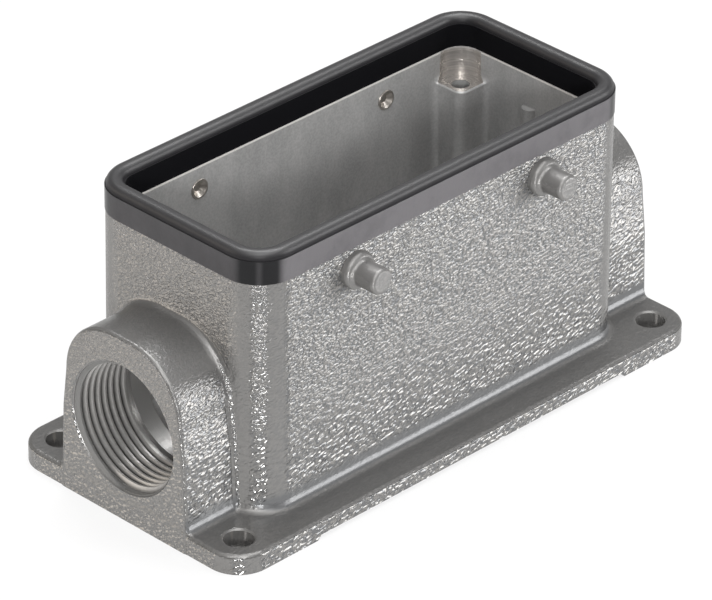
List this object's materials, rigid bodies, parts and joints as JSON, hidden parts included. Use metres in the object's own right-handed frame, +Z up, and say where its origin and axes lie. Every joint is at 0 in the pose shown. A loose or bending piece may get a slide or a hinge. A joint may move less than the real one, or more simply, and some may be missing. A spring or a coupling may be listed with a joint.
{
  "type": "heavy duty rectangular connector housing",
  "caption": "Surface mounting base housing of a heavy duty rectangular connector, with threaded cable entries at both ends, locking pegs and a rim seal.",
  "frame": {"origin": "centre of the mounting flange's footprint, on the surface that it is screwed to", "axes": "+X along the box and through both cable entries, +Y across the box, +Z up out of the open side"},
  "size_m": [0.1172, 0.057, 0.0555],
  "materials": {
    "cast_housing": "grey coat with a pebbled texture outside, bare satin casting inside",
    "seal_rubber": "smooth moulded black rubber",
    "peg_steel": "turned, satin, tails riveted bright"
  },
  "bodies": {
    "root": {"housing": "cast_housing", "rim_seal": "seal_rubber", "locking_peg_front_left": "peg_steel", "locking_peg_front_right": "peg_steel", "locking_peg_back_right": "peg_steel", "locking_peg_back_left": "peg_steel"}
  },
  "joints": []
}
